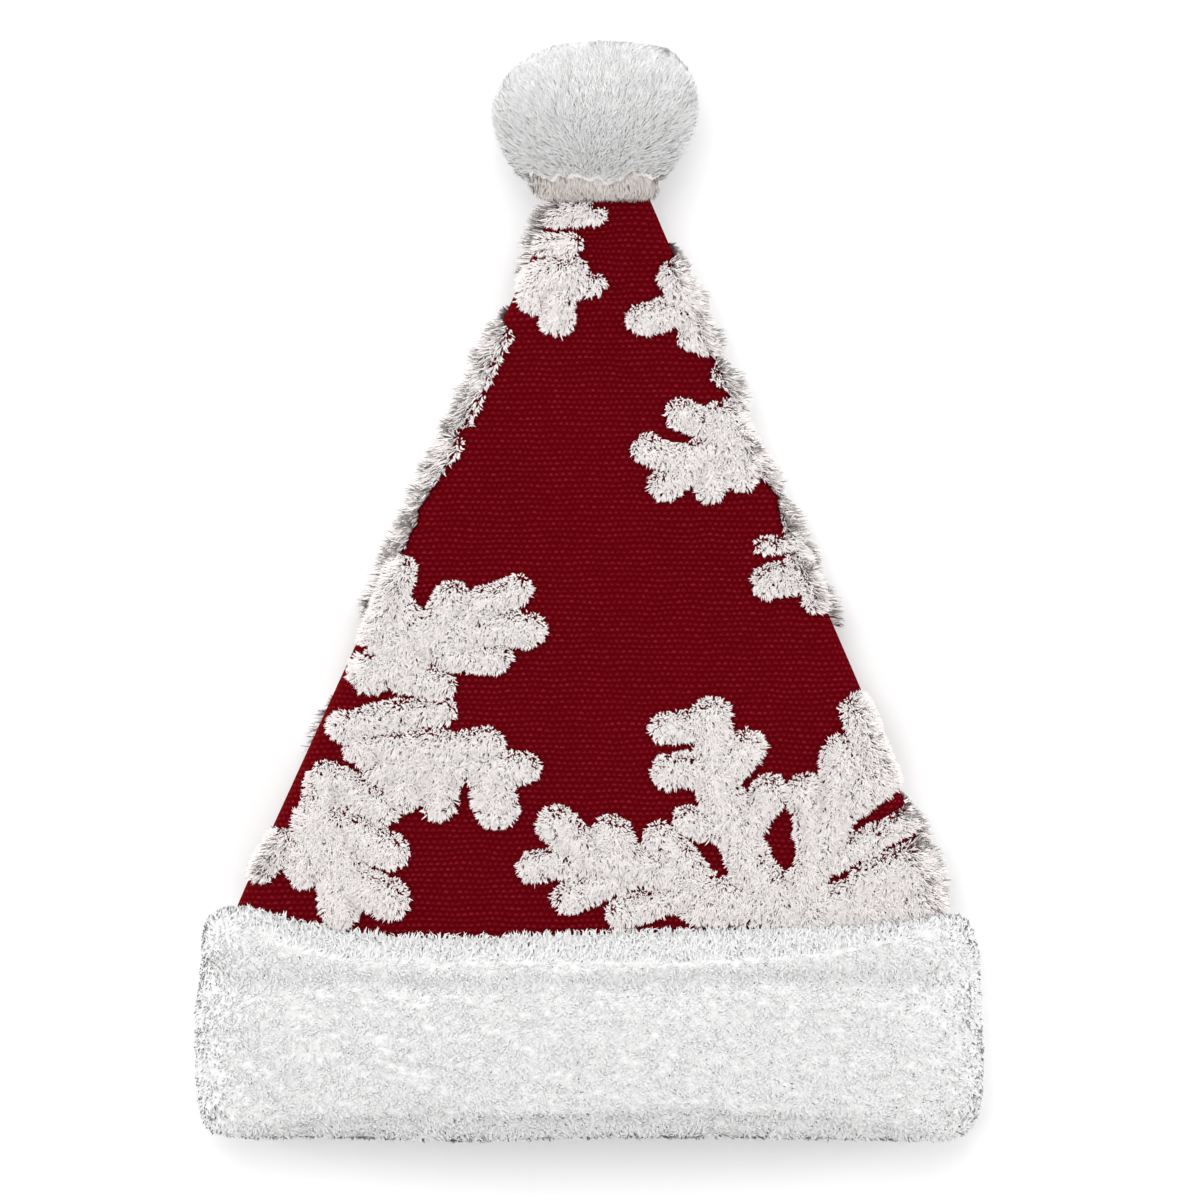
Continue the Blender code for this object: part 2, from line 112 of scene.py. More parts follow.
# The crown: deep red cloth, knitted in fine short stitches that sit in rows like bricks, sewn
# into a cone with one seam at the back. Its stitches and side folds carry painted highlights, the
# left fold most.
STITCH = 2.3 * MM
ROW = 2.0 * MM
FOLD_RADIUS_LOW = 9.9 * MM  # of the crown's side folds, at the cuff
FOLD_RADIUS_TIP = 5.7 * MM
CROWN_LOW_Y, CROWN_TIP_Y = -126 * MM, 142 * MM
CROWN_MIDDLE_X = 3 * MM
# The side folds get painted light, lighter and more orange where the cloth turns from the top; the
# right fold gets this share of it.
RIGHT_FOLD_LIGHT = 0.35  # of the right fold, against the left fold's 1
STITCH_WANDER, ROW_WANDER = 2.4 * MM, 2.2 * MM  # how far stitches and rows stray
CLOTH_RED = (0.084, 0.0004, 0.0018), (0.100, 0.0007, 0.0027)
# The colour of a stitch's painted highlight, on its raised yarn.
STITCH_HIGHLIGHT_RED = (0.215, 0.0110, 0.0230)
# The cloth and stitch colours of the side folds' painted light.
LIT_FOLD_CLOTH_RED, LIT_FOLD_STITCH_RED = (0.118, 0.0028, 0.0026), (0.245, 0.0180, 0.0200)


class Dye:
    """A value or colour in a material, worked on with Python's own operators."""

    def __init__(self, tree, socket=None):
        self.tree, self.socket = tree, socket

    def node(self, kind, inputs=(), output=0, stops=None, **settings):
        """A node: its settings first, then the values or links of its sockets."""
        made = self.tree.nodes.new("ShaderNode" + kind)
        for name, value in settings.items():
            setattr(made, name, value)
        if stops:
            ramp = made.color_ramp
            for k, (place, colour) in enumerate(stops):
                stop = ramp.elements[k] if k < 2 else ramp.elements.new(place)
                stop.position, stop.color = place, (*colour, 1)
        for key, value in dict(inputs).items():
            if isinstance(value, Dye):
                self.tree.links.new(value.socket, made.inputs[key])
            else:
                made.inputs[key].default_value = value
        return Dye(self.tree, made.outputs[output])

    def math(self, operation, *values):
        return self.node("Math", enumerate(values), operation=operation)

    def __add__(self, other):
        return self.math("ADD", self, other)

    def __sub__(self, other):
        return self.math("SUBTRACT", self, other)

    def __rsub__(self, other):
        return self.math("SUBTRACT", other, self)

    def __mul__(self, other):
        return self.math("MULTIPLY", self, other)

    def __truediv__(self, other):
        return self.math("DIVIDE", self, other)

    def __mod__(self, other):
        return self.math("FLOORED_MODULO", self, other)

    __radd__ = __add__
    __rmul__ = __mul__

    def floor(self):
        return self.math("FLOOR", self)

    def power(self, exponent):
        return self.math("POWER", self, exponent)

    def within(self, low, high):
        """0 below low and 1 above high, and smooth between."""
        return self.node(
            "MapRange",
            {"Value": self, "From Min": low, "From Max": high},
            interpolation_type="SMOOTHSTEP",
        )

    def blend(self, low, high):
        """The colour low where this value is 0 and high where it is 1."""

        def full(colour):
            return colour if isinstance(colour, Dye) else (*colour, 1)

        inputs = {0: self, 6: full(low), 7: full(high)}
        return self.node("Mix", inputs, output=2, data_type="RGBA")

    def cloud(self, scale, detail=2.0, rough=0.5, place=None):
        """Noise between 0 and 1 at that many features a metre."""
        place = place or self.node("TexCoord", output=3)
        inputs = {"Vector": place, "Scale": scale, "Detail": detail, "Roughness": rough}
        return self.node("TexNoise", inputs)


def dyed(name, rough, specular=0.3, sheen=0.0):
    """A new fabric material: its shader and a Dye to start its pattern from."""
    material = bpy.data.materials.new(name)
    material.use_nodes = True
    shader = material.node_tree.nodes["Principled BSDF"]
    shader.inputs["Roughness"].default_value = rough
    shader.inputs["Specular IOR Level"].default_value = specular
    shader.inputs["Sheen Weight"].default_value = sheen
    shader.inputs["Sheen Roughness"].default_value = 0.5
    return material, shader, Dye(material.node_tree)


def feed(shader, socket, dye):
    """Link a Dye to the shader's socket."""
    dye.tree.links.new(dye.socket, shader.inputs[socket])


def put_on(name, data, nodes):
    """A finished piece of the hat: it rides on the hat's body and stands for the nodes."""
    piece = bpy.data.objects.new(name, data)
    bpy.context.scene.collection.objects.link(piece)
    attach(piece, "root")
    if nodes:
        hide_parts(*nodes)
    return piece


def hat_piece(name, bm, material, slot, *nodes):
    """A piece of the hat in the bmesh's shape, which is freed."""
    data = bpy.data.meshes.new(name)
    bm.to_mesh(data)
    bm.free()
    data.materials.clear()
    data.materials.append(material)
    data.shade_smooth()
    return put_on(name, data, nodes)


def solid_copy(node):
    """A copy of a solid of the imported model, with its loose triangles merged into quads."""
    bm = bmesh.new()
    bm.from_mesh(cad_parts[node].data)
    bmesh.ops.remove_doubles(bm, verts=bm.verts, dist=0.02 * MM)
    bmesh.ops.join_triangles(
        bm, faces=bm.faces, angle_face_threshold=1.2, angle_shape_threshold=2.6
    )
    bm.normal_update()
    return bm


def smoothed(piece, levels):
    """The piece gets a subdivision surface."""
    rounding = piece.modifiers.new("rounding", "SUBSURF")
    rounding.levels = rounding.render_levels = levels


def fold_radius(y):
    """The radius of the crown's side folds, which narrow from the cuff to the tip."""
    share = min(max((y - CROWN_LOW_Y) / (CROWN_TIP_Y - CROWN_LOW_Y), 0), 1)
    return FOLD_RADIUS_LOW + (FOLD_RADIUS_TIP - FOLD_RADIUS_LOW) * share


def evaluated(piece):
    """A bmesh of a piece as it shows, with its modifiers."""
    bm = bmesh.new()
    bm.from_object(piece, bpy.context.evaluated_depsgraph_get())
    bm.normal_update()
    return bm


knit, knit_shader, dye = dyed("red_knit", 0.95, specular=0.0)
place = dye.node("UVMap", uv_map="cloth")
uneven = dye.cloud(160, 1.0, place=place) - 0.5
wavy = dye.cloud(70, 1.0, place=place) - 0.5
across = dye.node("SeparateXYZ", {0: place}, output=0) + uneven * STITCH_WANDER
along = dye.node("SeparateXYZ", {0: place}, output=1) + wavy * ROW_WANDER
row = (along / ROW).floor()
up = (along / ROW) % 1 - 0.5
column = across / STITCH + (row % 2) * 0.5
side = column % 1 - 0.5
pick = dye.node(
    "TexWhiteNoise",
    {0: dye.node("CombineXYZ", {0: column.floor(), 1: row, 2: 7.0})},
    noise_dimensions="3D",
)
arc = up + side * side * 1.3 - 0.12
yarn = (1 - (arc * 3.4).power(2) - (side * 1.8).power(2)).within(0.0, 1.0)
stitch = (1 - (side * 2.0).power(2) - (up * 2.0).power(2)).within(0.0, 1.0)
shade = dye.cloud(24, 3.0)
fuzz = dye.cloud(800, 2.0, 0.6)
# The side folds' painted light, lighter and more orange, follows this share of the fold.
fold = dye.node("Attribute", output=2, attribute_name="fold").within(0.4, 1.0)
deep = fold.blend(shade.blend(*CLOTH_RED), LIT_FOLD_CLOTH_RED)
bright = fold.blend(STITCH_HIGHLIGHT_RED, LIT_FOLD_STITCH_RED)
# A painted highlight on each stitch's raised yarn, brighter on some stitches at random.
light = stitch * 0.18 + yarn * (0.10 + 0.75 * pick) * fuzz.within(0.25, 0.75)
feed(knit_shader, "Base Color", light.blend(deep, bright))
relief = {"Strength": 0.8, "Distance": 0.6 * MM, "Height": stitch + fuzz * 0.3}
feed(knit_shader, "Normal", dye.node("Bump", relief))

crown = solid_copy("crown")
cloth_map = crown.loops.layers.uv.new("cloth")
# The share of painted light on the side folds: how far the cloth turns from facing up, in full on
# the left fold.
fold_light = crown.verts.layers.float.new("fold")
for vert in crown.verts:
    lit_share = 1.0 if vert.normal.x < 0 else RIGHT_FOLD_LIGHT
    turn = math.acos(max(-1, min(1, vert.normal.z)))
    vert[fold_light] = lit_share * min(turn / (math.pi / 2), 1.0)
rings = {}  # the crown's least and greatest x, at each height in millimetres
for vert in crown.verts:
    ring = rings.setdefault(round(vert.co.y / MM), [vert.co.x, vert.co.x])
    ring[0], ring[1] = min(ring[0], vert.co.x), max(ring[1], vert.co.x)
for face in crown.faces:
    right_half = face.calc_center_median().x > CROWN_MIDDLE_X
    for loop in face.loops:
        spot = loop.vert.co
        low, high = rings[round(spot.y / MM)]
        radius = fold_radius(spot.y)
        reach = (high - low) / 2 - radius
        off = abs(spot.x - (low + high) / 2)
        normal = loop.vert.normal
        turn = math.atan2(abs(normal.x), normal.z)
        run = min(off, reach) + radius * turn
        if turn > math.pi / 2:
            run += 2 * (reach - min(off, reach))
        loop[cloth_map].uv = (run if right_half else -run, spot.y)
crown_cloth = hat_piece("crown_cloth", crown, knit, "crown_cloth", "crown")
smoothed(crown_cloth, 2)


# The pile: every plush piece is covered with polyester fibres, cut to one height and combed.
# They lie in small locks, and their roots are painted darker, as shade between the fibres.
PALETTE = 32  # tones of fibre, each a column of the fibres' own map
ROOT_PLACE, TIP_PLACE = 0.02, 0.98  # of a fibre's ends on that map
BENDS = 2  # lengths that a fibre is made of
HALF_WIDTHS = 0.5, 0.48  # of each length's lower end, as a share of the fibre's width
PILE_FLOOR = 0.3 * MM  # no fibre dips lower than this above the table
TWIST = 0.45  # radians
SKYWARD = np.array([0.0, 0.0, 0.6])  # pile lets light through, so its shading turns upwards
noise.seed_set(20)  # unset, the noise that bends the fibres is another one in every run


def plush(name, root, middle, tip, spread):
    """A fibre's material: its colour runs from a root in painted shade to the tip, and varies from
    lock to lock.
    """
    material, shader, dye = dyed(name, 0.62, specular=0.28, sheen=0.25)
    place = dye.node("UVMap", uv_map="OFBake")
    lock = dye.node("SeparateXYZ", {0: place}, output=0)
    out = dye.node("SeparateXYZ", {0: place}, output=1)
    colour = dye.node("ValToRGB", {0: out}, stops=((0.0, root), (1.0, tip), (0.45, middle)))
    tone = (1 - spread) + lock * spread
    colour = dye.node("VectorMath", {0: colour, "Scale": tone}, operation="SCALE")
    feed(shader, "Base Color", colour)
    return material


def scatter(bm, faces, count, rng, layer=None):
    """That many points spread evenly over the faces, with the normals and map places there."""
    corners, normals, places = [], [], []
    for face in faces:
        ring = face.loops[:]
        for k in range(1, len(ring) - 1):
            trio = (ring[0], ring[k], ring[k + 1])
            corners.append([loop.vert.co for loop in trio])
            normals.append([loop.vert.normal for loop in trio])
            if layer:
                places.append([loop[layer].uv for loop in trio])
    corners, normals = np.array(corners), np.array(normals)
    edge_a, edge_b = corners[:, 1] - corners[:, 0], corners[:, 2] - corners[:, 0]
    area = np.linalg.norm(np.cross(edge_a, edge_b), axis=1)
    pick = rng.choice(len(area), int(count), p=area / area.sum())
    a, b = rng.random(int(count)), rng.random(int(count))
    a, b = np.where(a + b > 1, 1 - a, a), np.where(a + b > 1, 1 - b, b)
    weights = np.stack([1 - a - b, a, b], axis=1)[:, :, None]
    spots = (corners[pick] * weights).sum(axis=1)
    ups = unit((normals[pick] * weights).sum(axis=1))
    if layer:
        return spots, ups, (np.array(places)[pick] * weights).sum(axis=1)
    return spots, ups


def unit(vectors):
    """The vectors at length 1."""
    return vectors / np.maximum(np.linalg.norm(vectors, axis=1), 1e-9)[:, None]


def along_surface(vectors, ups):
    """The vectors laid along the surface, at length 1."""
    return unit(vectors - (vectors * ups).sum(axis=1)[:, None] * ups)


def drift(spots, scale, seed):
    """A smooth random direction at each spot, which turns over a length of 1 / scale."""
    offset = Vector((seed * 13.7, seed * 5.3, seed * 9.1))
    return np.array([noise.noise_vector(Vector(p) * scale + offset) for p in spots])


def gather(spots, tips, size, pull):
    """Tips drawn together into locks of about that size."""
    cells = np.floor(spots / size + drift(spots, 0.3 / size, 3) * 0.8).astype(int)
    _, lock = np.unique(cells, axis=0, return_inverse=True)
    lock = lock.ravel()
    count = np.bincount(lock)[:, None]
    middle = np.stack([np.bincount(lock, tips[:, k]) for k in range(3)], axis=1) / count
    return tips + (middle[lock] - tips) * pull, lock


def grow(
    name, material, nodes, roots, ups, combs, length, width, rise, fall, rng,
    curl, lock_size, pull, soften, start=ROOT_PLACE, bright=1.0,
):
    """A pile of fibres as one piece: each is a thin blade that tapers from root to tip.

    rise and fall are a fibre's slopes off the cloth at its root and at its tip. pull draws the
    tips of a lock together, and soften shades a blade more as the cloth below it. start is how
    far along its colours, past the root's painted shade, its root is, and bright is 1, or less
    where the pile gets painted shade.
    """
    count = len(roots)
    sides = np.cross(ups, combs)
    bend = rng.normal(0, curl, count)
    spine = [roots]
    for k in range(BENDS):
        share = (k + 0.5) / BENDS
        slope = (rise + (fall - rise) * share)[:, None]
        turn = (bend * share * 2)[:, None]
        heading = np.cos(slope) * (np.cos(turn) * combs + np.sin(turn) * sides)
        heading = heading + np.sin(slope) * ups
        spine.append(spine[-1] + heading * (length / BENDS)[:, None])
    gathered, lock = gather(roots, spine[-1], lock_size, pull)
    for k in range(1, BENDS):
        spine[k] = spine[k] + (gathered - spine[-1]) * (k / BENDS) ** 1.5
    spine[-1] = gathered
    for line in spine:
        line[:, 2] = np.maximum(line[:, 2], PILE_FLOOR)
    twist = rng.normal(0, TWIST, count)[:, None]
    rows, looks = [], []
    for k in range(BENDS):
        ahead = unit(spine[k + 1] - spine[k])
        flat = unit(np.cross(ups, ahead) + 1e-6)
        flat = flat * np.cos(twist) + np.cross(ahead, flat) * np.sin(twist)
        half = flat * (width * HALF_WIDTHS[k])[:, None]
        rows += [spine[k] - half, spine[k] + half]
        face = unit(np.cross(ahead, flat))
        facing = unit(face * (1 - soften) + ups * soften + SKYWARD)
        looks += [facing, facing]
    rows.append(spine[-1])
    looks.append(looks[-1])
    points = np.stack(rows, axis=1)
    each = points.shape[1]
    corner = (np.arange(count) * each)[:, None]
    quads = [corner + np.array([2 * k + 1, 2 * k, 2 * k + 2, 2 * k + 3]) for k in range(BENDS - 1)]
    end = corner + np.array([2 * BENDS - 1, 2 * BENDS - 2, 2 * BENDS])
    faces = [list(quad) for lengths in quads for quad in lengths] + [list(trio) for trio in end]
    data = bpy.data.meshes.new(name)
    data.from_pydata(points.reshape(-1, 3), [], faces)
    tone = (rng.random(lock.max() + 1)[lock] * 0.6 + rng.random(count) * 0.4) * bright
    column = (np.clip(tone, 0, 0.999) * PALETTE).astype(int)
    spot = np.zeros((count, each, 2))
    for k in range(BENDS):
        spot[:, 2 * k, 0] = (column + 0.15) / PALETTE
        spot[:, 2 * k + 1, 0] = (column + 0.85) / PALETTE
        up_fibre = start + (TIP_PLACE - start) * k / BENDS
        spot[:, 2 * k : 2 * k + 2, 1] = np.reshape(up_fibre, (-1, 1))
    spot[:, -1] = np.stack([(column + 0.5) / PALETTE, np.full(count, TIP_PLACE)], axis=1)
    fibre_map = data.uv_layers.new(name="OFBake")
    corners = np.empty(len(data.loops), np.int32)
    data.loops.foreach_get("vertex_index", corners)
    fibre_map.uv.foreach_set("vector", spot.reshape(-1, 2)[corners].astype(np.float32).ravel())
    data.materials.append(material)
    data.shade_smooth()
    data.normals_split_custom_set_from_vertices(np.stack(looks, axis=1).reshape(-1, 3))
    return put_on(name, data, nodes)


# The snowflakes: tufts of white fibre, punched through the crown's cloth in the outline of a
# snowflake. The pile stands up along the middle of each branch and falls to its sides.

# A branch is (start x, y, end x, y, half its width) in millimetres, as the hat is seen from
# above, and past a side fold the lines run on along the cloth.
BRANCHES = {
    "front": (
        (72, -112, 60, -100, 7), (60, -100, 53, -84, 7), (53, -84, 46, -66, 7.5),
        (46, -66, 45, -44, 6.5), (40, -47, 29, -48, 5.5), (45, -63, 30, -63.5, 6),
        (52, -85, 36, -81.5, 5), (48, -66, 57.5, -55.5, 6.3), (56, -86, 66, -71, 5.8),
        (76, -110, 83, -94, 6.5), (83, -94, 90, -78, 7), (90, -78, 92.5, -57.5, 6.5),
        (82, -88, 78.5, -70.5, 5.8), (92, -76, 109, -65, 7), (108, -62, 101, -42, 6),
        (90, -95, 119, -81, 4.5), (80, -113, 104, -106, 6), (104, -104, 126, -96, 9),
        (85, -113, 128, -110, 6), (55, -111, 72, -112, 6.5), (58, -111, 34, -102, 5.3),
        (34, -101, 8, -95, 6.5), (8, -94, -20, -97.5, 5.3), (0, -93, -11.5, -82.5, 6.3),
        (12, -95, 8, -86.5, 6.8), (38, -99, 26, -87, 5), (15, -100, -7, -109, 5.3),
        (40, -106, 12, -114.5, 5), (40, -112, 60, -112, 6),
    ),
    "left": (
        (-72, 8, -78, -14, 6), (-50, -2, -56, -13, 6.2), (-26, 1.5, -38, -3, 5),
        (-38, -3, -48, -11, 5.5), (-22, -13, -45, -11.5, 5.8), (-45, -12, -72, -16, 7.5),
        (-34, -22.5, -50, -22, 5.5), (-50, -20, -64, -18, 5), (-66, -6, -70, -14, 3.5),
        (-66, -22, -79, -28, 7.5), (-68, -30, -54, -32, 5), (-53, -42, -68, -43, 4.5),
        (-68, -43, -89, -48, 5), (-82, -55, -52, -56, 6.5), (-52, -56, -37, -53.5, 5.5),
        (-24, -62.5, -45, -62, 5.5), (-36, -64, -33, -77, 7), (-54, -62, -54, -75, 6),
        (-66, -60, -67, -72, 6), (-45, -62, -75, -62, 6), (-93, -66, -74, -77, 5.5),
        (-95, -66, -98, -80, 6), (-98, -80, -100, -94, 8), (-96, -84, -90, -100, 9),
        (-85, -86, -72, -92.5, 6.3), (-84, -104, -72, -109.5, 6.8), (-90, -100, -90, -113, 6.8),
        (-104, -92, -103, -99, 6), (-114, -90, -121, -98, 5.5),
    ),
    "right": (
        (36, 114, 44, 96, 6.5), (33, 102, 21, 99, 5.3), (38, 92.5, 48, 90, 4.3),
        (53, 80, 59, 71, 5), (42, 62, 34, 65.5, 4.8), (50, 62, 56, 50, 8), (46, 52, 36, 48, 6),
        (36, 48, 21, 52.5, 4.8), (36, 45, 28.5, 39.5, 5.3), (46, 48, 45, 39, 5.5),
        (54, 48, 56, 42, 4.5), (64, 51, 71, 41, 4.5), (75, 32, 79, 20, 4.5),
        (77, 18, 64, 17.5, 2.6), (77, 6.5, 66.5, 4.5, 6), (81, 12, 86, -1, 5.5),
    ),
    "tip": (
        (-14, 136.5, 2, 139.5, 4.3), (-19, 126, -7, 125.5, 3.4), (-20, 113, -8, 116, 6),
        (-9, 110, 2, 111.5, 3.4), (-12, 107, -12, 99, 5.5), (-22, 109, -20, 106, 4.5),
    ),
    "back_top": (
        (-37, 93, -50, 65, 5.5), (-55, 54, -66, 36, 6), (-69, 27, -77, 12, 6),
    ),
    "back_right": (),
}
# The arms that run round a fold to the underside: each from the snowflake's hub on the
# unrolled cloth, at that many degrees and that long.
HUBS = {
    "front": (72, -111, ((18, 83),)),
    "left": (-91, -54, ((165, 28), (-124, 39))),
    "right": (74, 51, ((-30, 44), (70, 44), (119, 81), (-85, 60))),
    "tip": (-9.5, 142, ((-150, 32),)),
    "back_top": (-84, 40, ((55, 70), (14, 26), (-40, 25), (-82, 44), (180, 35), (115, 44))),
    "back_right": (204, -80, ((90, 55), (30, 44), (-30, 40), (150, 44), (210, 35))),
}
TUFT_SPREAD = 0.2 * MM  # how far outside a branch's outline its outermost roots lie
TUFT_STAND = 4.5 * MM  # how far a branch stands out past a side fold
CLOTH_ROOTS = 500000  # spread over the crown, of which those in a snowflake grow
HOLLOW_REACH = 60 * MM  # a wall with another wall this near before it is an inner one
ARM_HALF, BRANCH_HALF, BRANCH_LEAST = 6, 5.6, 7  # half widths and least length, in millimetres
BRANCH_PLACES = (0.34, 0.34), (0.56, 0.31), (0.78, 0.25)  # place and length, as shares of the arm
# The arms count where the cloth faces lower than this. The left snowflake's own branches already
# run further round its fold.
ARMS_BELOW, LEFT_ARMS_BELOW = 0.1, -0.5
BACK_SIDE_SHARE, BACK_SHARE = 0.95, 0.45  # of the back's roots: by the folds, and lain upon


def unrolled(x, y):
    """How far round the cloth a place is, from the middle of the crown's upper side."""
    radius = fold_radius(y)
    near = sorted(rings, key=lambda ring: abs(ring * MM - y))[:2]
    gaps = [abs(ring * MM - y) for ring in near]
    low, high = (
        (rings[near[0]][k] * gaps[1] + rings[near[1]][k] * gaps[0]) / sum(gaps) for k in (0, 1)
    )
    off, reach = abs(x - (low + high) / 2), (high - low) / 2 - radius
    sine = min(max(off - reach, 0) / (radius + TUFT_STAND), 1)
    run = min(off, reach) + radius * math.asin(sine) + max(off - reach - radius - TUFT_STAND, 0)
    return math.copysign(run, x - (low + high) / 2)


def branched(x, y, degrees, length):
    """An arm of a snowflake, and its three pairs of branches."""
    turn = math.radians(degrees)
    lines = [(x, y, x + length * math.cos(turn), y + length * math.sin(turn), ARM_HALF)]
    for at, share in BRANCH_PLACES:
        for side in (-1, 1):
            out = turn + side * math.pi / 4
            foot = (x + length * at * math.cos(turn), y + length * at * math.sin(turn))
            tip = (math.cos(out) * length * share, math.sin(out) * length * share)
            if length * share > BRANCH_LEAST:
                lines.append((*foot, foot[0] + tip[0], foot[1] + tip[1], BRANCH_HALF))
    return lines


def depth_in(lines, spots, depth, lean):
    """How deep each spot is inside the branches, and the way out from the nearest one."""
    for x0, y0, x1, y1, half in lines:
        start, end = np.array([x0, y0]) * MM, np.array([x1, y1]) * MM
        share = ((spots - start) @ (end - start)) / ((end - start) ** 2).sum()
        away = spots - (start + np.clip(share, 0, 1)[:, None] * (end - start))
        distance = np.linalg.norm(away, axis=1)
        better = half * MM - distance > depth
        depth[better] = (half * MM - distance)[better]
        lean[better] = away[better] / (half * MM)


# The tufts' reddish grey roots are painted shade between the fibres, over the red cloth.
tuft = plush(
    "snowflake_tuft",
    root=(0.66, 0.50, 0.48), middle=(0.90, 0.84, 0.825), tip=(0.95, 0.91, 0.895), spread=0.10,
)
rng = np.random.default_rng(20)
cloth = evaluated(crown_cloth)
around = BVHTree.FromBMesh(cloth)
outer = []
for face in cloth.faces:
    before = face.calc_center_median() + face.normal * MM
    if not around.ray_cast(before, face.normal, HOLLOW_REACH)[0]:
        outer.append(face)
roots, ups, spots = scatter(cloth, outer, CLOTH_ROOTS, rng, cloth.loops.layers.uv["cloth"])
cloth.free()
northward = along_surface(np.tile([0.0, 1.0, 0.0], (len(roots), 1)), ups)
rightward = np.cross(northward, ups)
wave = drift(roots, 150, 5)
for name, seen in BRANCHES.items():
    depth, lean = np.full(len(roots), -1.0), np.zeros((len(roots), 2))
    seen = [
        (unrolled(x0 * MM, y0 * MM) / MM, y0, unrolled(x1 * MM, y1 * MM) / MM, y1, half)
        for x0, y0, x1, y1, half in seen
    ]
    depth_in(seen, spots, depth, lean)
    below = ups[:, 2] < (LEFT_ARMS_BELOW if name == "left" else ARMS_BELOW)
    deep, away = depth[below], lean[below]
    hub_x, hub_y, arms = HUBS[name]
    for arm in arms:
        depth_in(branched(hub_x, hub_y, *arm), spots[below], deep, away)
    depth[below], lean[below] = deep, away
    ragged = wave[:, 0] * 0.7 * MM - TUFT_SPREAD
    kept = depth > ragged + np.clip(-lean[:, 1], 0, 1) * 0.8 * MM
    if name.startswith("back"):
        share = np.where(np.abs(ups[:, 2]) < 0.8, BACK_SIDE_SHARE, BACK_SHARE)
        kept = kept & (rng.random(len(kept)) < share)
    root, up, depth, lean = roots[kept], ups[kept], depth[kept], lean[kept]
    edge = np.clip(np.linalg.norm(lean, axis=1), 0, 1)
    out = lean[:, :1] * rightward[kept] + lean[:, 1:] * northward[kept]
    low_side = np.clip(-lean[:, 1], 0, 1)
    high_side = np.clip(lean[:, 1], 0, 1)
    combs = out * edge[:, None] ** 2 * 1.3 - northward[kept] * 0.75 + wave[kept] * 0.9
    combs = along_surface(combs + rng.normal(0, 0.3, root.shape), up)
    length = np.clip(2.4 * MM + depth * 0.7, 3.2 * MM, 6.2 * MM)
    length = length + (low_side * 1.2 - high_side * 0.6) * MM
    aside = 1 - np.abs(up[:, 2])
    length = length * (1 + 0.4 * aside)
    grow(
        "tufts_" + name, tuft, ["snowflake_" + name],
        root - up * 0.5 * MM, up, combs, length * rng.uniform(0.85, 1.15, len(root)),
        rng.uniform(0.42, 0.66, len(root)) * MM,
        np.radians(rng.normal(78, 8, len(root)) - 18 * edge + 18 * high_side),
        np.radians(rng.normal(30, 14, len(root)) - 18 * edge + 30 * high_side + 14 * aside),
        rng, curl=0.5, lock_size=1.7 * MM, pull=(0.3 + 0.35 * low_side)[:, None], soften=0.85,
        # The roots' painted shade shows at a branch's edges. It is painted lighter deep in a
        # branch, and as painted light on sideways fibres and a branch's upper side.
        start=np.clip(depth / (4 * MM) - 0.15 + 0.5 * aside + 0.3 * high_side, ROOT_PLACE, 0.7),
    )


# The cuff: a tube of curly plush, folded double round the crown's lower edge and stitched. It
# is soft and a little padded by its own pile, so its faces swell between hem and rim.
backing, backing_shader, dye = dyed("cuff_backing", 0.85, specular=0.1)
curls = dye.cloud(420, 3.0, 0.6)
pale = curls.within(0.3, 0.7).blend((0.66, 0.65, 0.64), (0.82, 0.82, 0.82))
feed(backing_shader, "Base Color", pale)
relief = {"Strength": 0.6, "Distance": 1.0 * MM, "Height": curls}
feed(backing_shader, "Normal", dye.node("Bump", relief))
PILE = 0.8 * MM  # the backing lies this far in, and its pile fills the rest
TUCK = 0.3 * MM  # the same where the cuff faces the crown
RIM_Y = -120 * MM  # the cuff's upper edge
SEAM_Y, SEAM_WIDTH, SEAM_DEPTH = -140 * MM, 4.5 * MM, 2.4 * MM  # a stitched line across it
STUFFING_PRESSURE, STUFFING_FRAMES, SWELL_MOST = 4, 20, 2.2 * MM
BACKING_FLOOR = 0.6 * MM  # the backing's lowest points, so that its pile clears the table

crown_bvh = BVHTree.FromBMesh(solid_copy("crown"))
cuff = solid_copy("cuff")
free = cuff.verts.layers.float.new("free")
for vert in cuff.verts:
    _, outward, _, distance = crown_bvh.find_nearest(vert.co)
    hidden = distance < 1.0 * MM and vert.normal.dot(outward) < 0
    vert[free] = 0.0 if hidden else 1.0
    vert.co -= vert.normal * (TUCK if hidden else PILE)
cuff_backing = hat_piece("cuff_backing", cuff, backing, "cuff_plush", "cuff")
smoothed(cuff_backing, 2)
bpy.context.view_layer.objects.active = cuff_backing
with bpy.context.temp_override(object=cuff_backing):
    bpy.ops.object.modifier_apply(modifier="rounding")
start = [v.co.copy() for v in cuff_backing.data.vertices]
stuffing = cuff_backing.modifiers.new("stuffing", "CLOTH")
stuffing.settings.use_pressure = True
stuffing.settings.uniform_pressure_force = STUFFING_PRESSURE
stuffing.settings.effector_weights.gravity = 0
for number in range(1, STUFFING_FRAMES + 1):
    bpy.context.scene.frame_set(number)
with bpy.context.temp_override(object=cuff_backing):
    bpy.ops.object.modifier_apply(modifier="stuffing")
bpy.context.scene.frame_set(1)
loose = cuff_backing.data.attributes["free"].data
for vert, first, spare in zip(cuff_backing.data.vertices, start, loose):
    move = vert.co - first
    vert.co = first + move * min(1.0, SWELL_MOST / max(move.length, 1e-9)) * spare.value
loose = cuff_backing.data.attributes["free"].data
for vert, spare in zip(cuff_backing.data.vertices, loose):
    sunk = math.exp(-(((vert.co.y - SEAM_Y) / SEAM_WIDTH) ** 2)) * max(vert.normal.z, 0.0) ** 2
    vert.co -= vert.normal * SEAM_DEPTH * sunk * spare.value
    vert.co.z = max(vert.co.z, BACKING_FLOOR)
smoothed(cuff_backing, 1)
